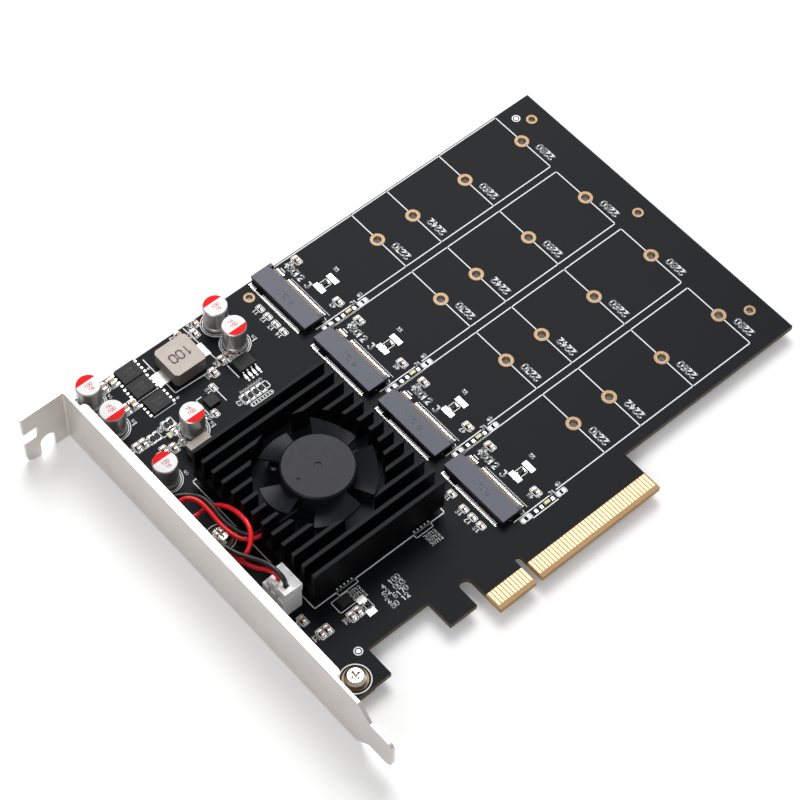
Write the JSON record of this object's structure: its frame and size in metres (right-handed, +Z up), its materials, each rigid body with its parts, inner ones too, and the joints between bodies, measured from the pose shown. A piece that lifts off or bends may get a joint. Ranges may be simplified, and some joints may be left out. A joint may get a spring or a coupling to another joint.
{
  "type": "nvme adapter card",
  "caption": "Expansion card that carries M.2 drives: black board with edge fingers, a row of M.2 sockets, a fan-cooled heatsink and a steel slot bracket.",
  "frame": {"origin": "middle of the footprint, at the height of the slot bracket's lower long edge, on which the card rests", "axes": "+X from the slot bracket to the far end of the board, +Y from the edge fingers to the top edge, +Z up from the component side"},
  "size_m": [0.1684, 0.1248, 0.0184],
  "materials": {
    "black_anodised": "black anodised, extruded and machined",
    "black_plastic": "satin moulded plastic",
    "black_rubber": "matte seal",
    "black_sleeve": "glossy black vinyl sleeve",
    "can_aluminium": "satin drawn can",
    "chip_epoxy": "matte moulding compound",
    "copper_wire": "enamelled copper winding",
    "dark_screw": "black zinc plate",
    "ferrite": "rubber-bonded ferrite",
    "gold": "hard gold plate",
    "green_board": "green laminate",
    "inductor_block": "pressed iron powder, warm grey",
    "lamination_steel": "stacked silicon steel",
    "led_resin": "clear yellowish resin",
    "nickel_plate": "satin nickel plate on sheet steel",
    "nickel_screw": "bright nickel plate",
    "red_sleeve": "glossy red vinyl sleeve",
    "shaft_steel": "ground steel",
    "sintered_bronze": "oil-filled sintered bronze",
    "socket_plastic": "moulded blue-grey polymer",
    "solder_mask": "semi-gloss black solder mask over glass laminate",
    "tan_ceramic": "fired ceramic",
    "thermal_pad": "soft silicone sheet",
    "tin": "tin plate",
    "white_plastic": "natural white nylon"
  },
  "bodies": {
    "card": {"bracket": "nickel_plate", "bracket_screws": "nickel_screw", "capacitor_cans": "can_aluminium", "capacitor_leads": "tin", "capacitor_seals": "black_rubber", "ceramic_capacitors": "tan_ceramic", "ceramic_terminals": "tin", "driver_chip": "chip_epoxy", "driver_chip_leads": "tin", "edge_contacts_bottom": "gold", "edge_contacts_top": "gold", "fan_base": "black_plastic", "fan_base_screws": "dark_screw", "fan_bearing": "sintered_bronze", "fan_header": "white_plastic", "fan_motor_board": "green_board", "fan_plug": "white_plastic", "fan_stator_core": "lamination_steel", "fan_windings": "copper_wire", "fan_wire_black": "black_sleeve", "fan_wire_red": "red_sleeve", "header_pins": "tin", "heatsink": "black_anodised", "heatsink_screws": "nickel_screw", "inductor_terminals": "tin", "leds": "led_resin", "m2_connector_1": "socket_plastic", "m2_connector_2": "socket_plastic", "m2_connector_3": "socket_plastic", "m2_connector_4": "socket_plastic", "m2_contacts_1": "tin", "m2_contacts_2": "tin", "m2_contacts_3": "tin", "m2_contacts_4": "tin", "mosfets": "chip_epoxy", "pcb": "solder_mask", "power_inductor": "inductor_block", "resistors": "chip_epoxy", "small_chips": "chip_epoxy", "small_inductor": "inductor_block", "solder_joints": "tin", "switch_chip": "chip_epoxy", "thermal_pad": "thermal_pad"},
    "rotor": {"fan_rotor": "black_plastic", "fan_shaft": "shaft_steel", "fan_magnet": "ferrite"}
  },
  "joints": [
    {"name": "fan_spin", "type": "hinge", "parent": "card", "child": "rotor", "pos_m": [-0.03845, 0.00265, 0.01], "axis": [0, 0, 1], "continuous": true}
  ]
}
